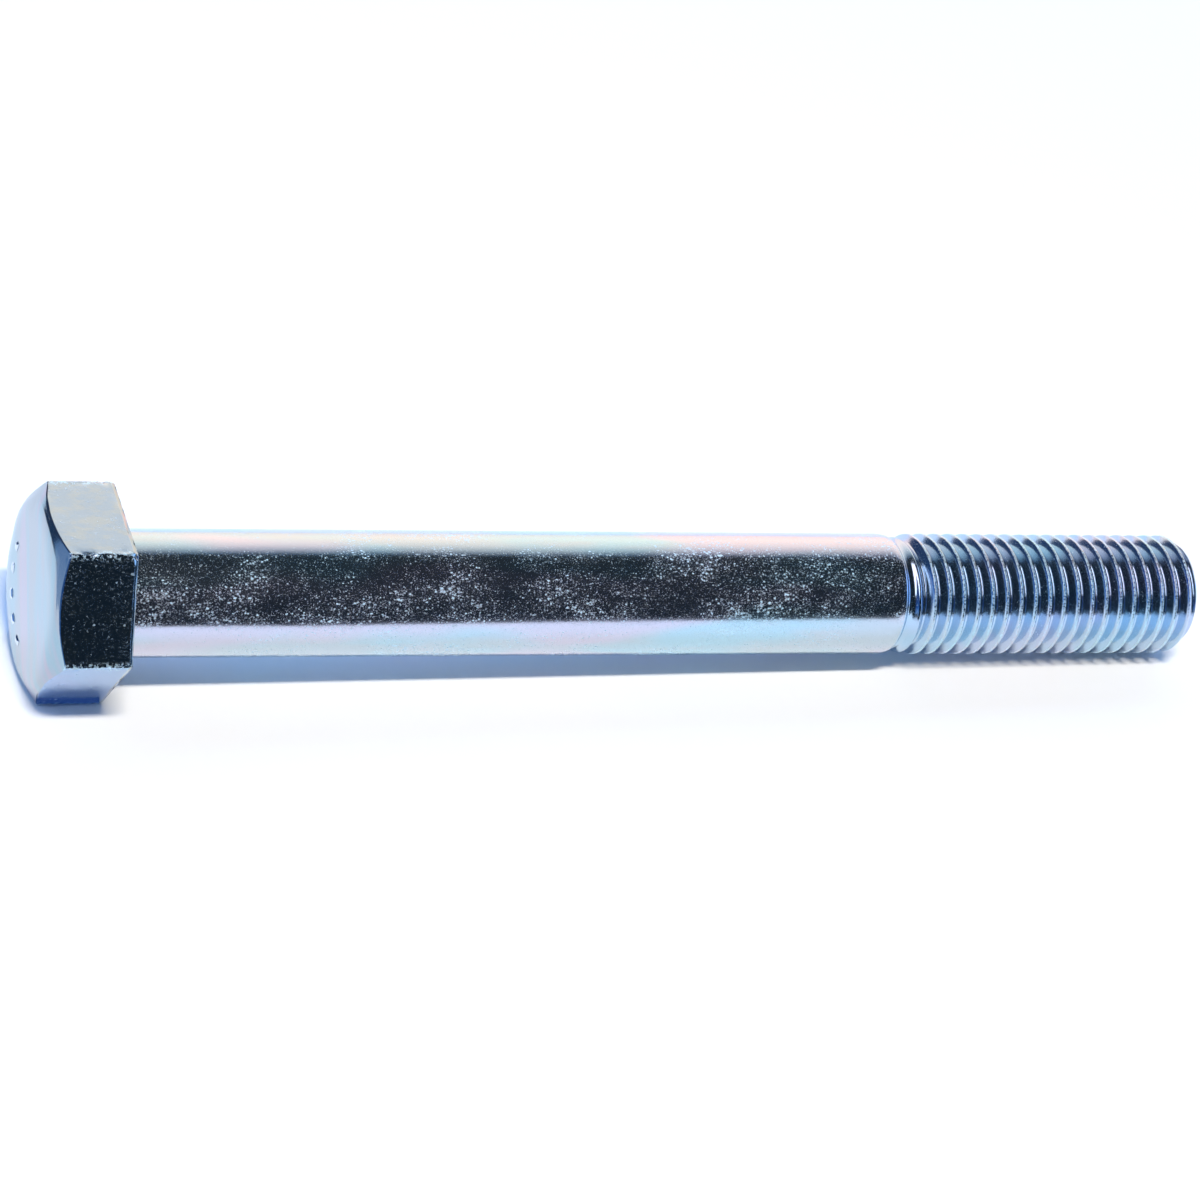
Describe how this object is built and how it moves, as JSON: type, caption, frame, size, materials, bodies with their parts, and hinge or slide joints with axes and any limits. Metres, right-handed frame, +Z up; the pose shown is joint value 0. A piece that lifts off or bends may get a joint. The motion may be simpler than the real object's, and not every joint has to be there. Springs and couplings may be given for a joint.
{
  "type": "hex bolt",
  "caption": "Zinc-plated hex head bolt with a long plain shank and a partly threaded end with a chamfered point.",
  "frame": {"origin": "centre of the bearing face under the head", "axes": "+X along the bolt's axis from the head to the thread's point, +Z up with one flat of the head underneath, so the bolt lies on its side"},
  "size_m": [0.19, 0.033, 0.0286],
  "materials": {
    "zinc_head": "bright blue-passivated zinc plating on forged steel",
    "zinc_shank": "bright blue-passivated zinc plating on a finely pitted shank",
    "zinc_thread": "bright blue-passivated zinc plating on a rolled thread"
  },
  "bodies": {
    "root": {"hex_head": "zinc_head", "head_marks": "zinc_head", "shank_root": "zinc_shank", "shank": "zinc_shank", "neck": "zinc_thread", "thread": "zinc_thread"}
  },
  "joints": []
}
